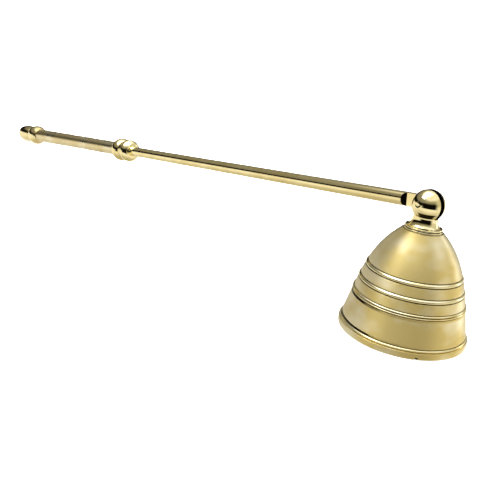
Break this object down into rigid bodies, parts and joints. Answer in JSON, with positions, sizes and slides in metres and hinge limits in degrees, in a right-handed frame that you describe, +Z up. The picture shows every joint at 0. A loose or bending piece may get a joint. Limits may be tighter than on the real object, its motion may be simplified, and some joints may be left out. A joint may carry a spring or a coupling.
{
  "type": "candle snuffer",
  "caption": "Brass candle snuffer: a beaded bell with a slotted ball knuckle on its crown, hinged to a long round rod that ends in a turned grip.",
  "frame": {"origin": "centre of the bell's mouth, on the surface that the rim stands on", "axes": "+Z up the bell's axis towards the knuckle; the handle points towards -X; +Y along the hinge pin"},
  "size_m": [0.3141, 0.041, 0.0467],
  "materials": {
    "satin_brass": "satin, finely turned",
    "polished_brass": "polished",
    "plain_brass": "plain, as machined"
  },
  "bodies": {
    "bell_body": {"bell": "satin_brass", "knuckle": "polished_brass", "seat_washer": "polished_brass", "inner_washer": "plain_brass", "hex_nut": "plain_brass", "pivot_pin": "polished_brass"},
    "handle": {"rod": "polished_brass", "front_collar": "polished_brass", "grip_tube": "polished_brass", "rear_bead": "polished_brass", "end_finial": "polished_brass"}
  },
  "joints": [
    {"name": "handle_hinge", "type": "hinge", "parent": "bell_body", "child": "handle", "pos_m": [-0.0008, 0, 0.04252], "axis": [0, 1, 0], "range_deg": [-19, 207]}
  ]
}
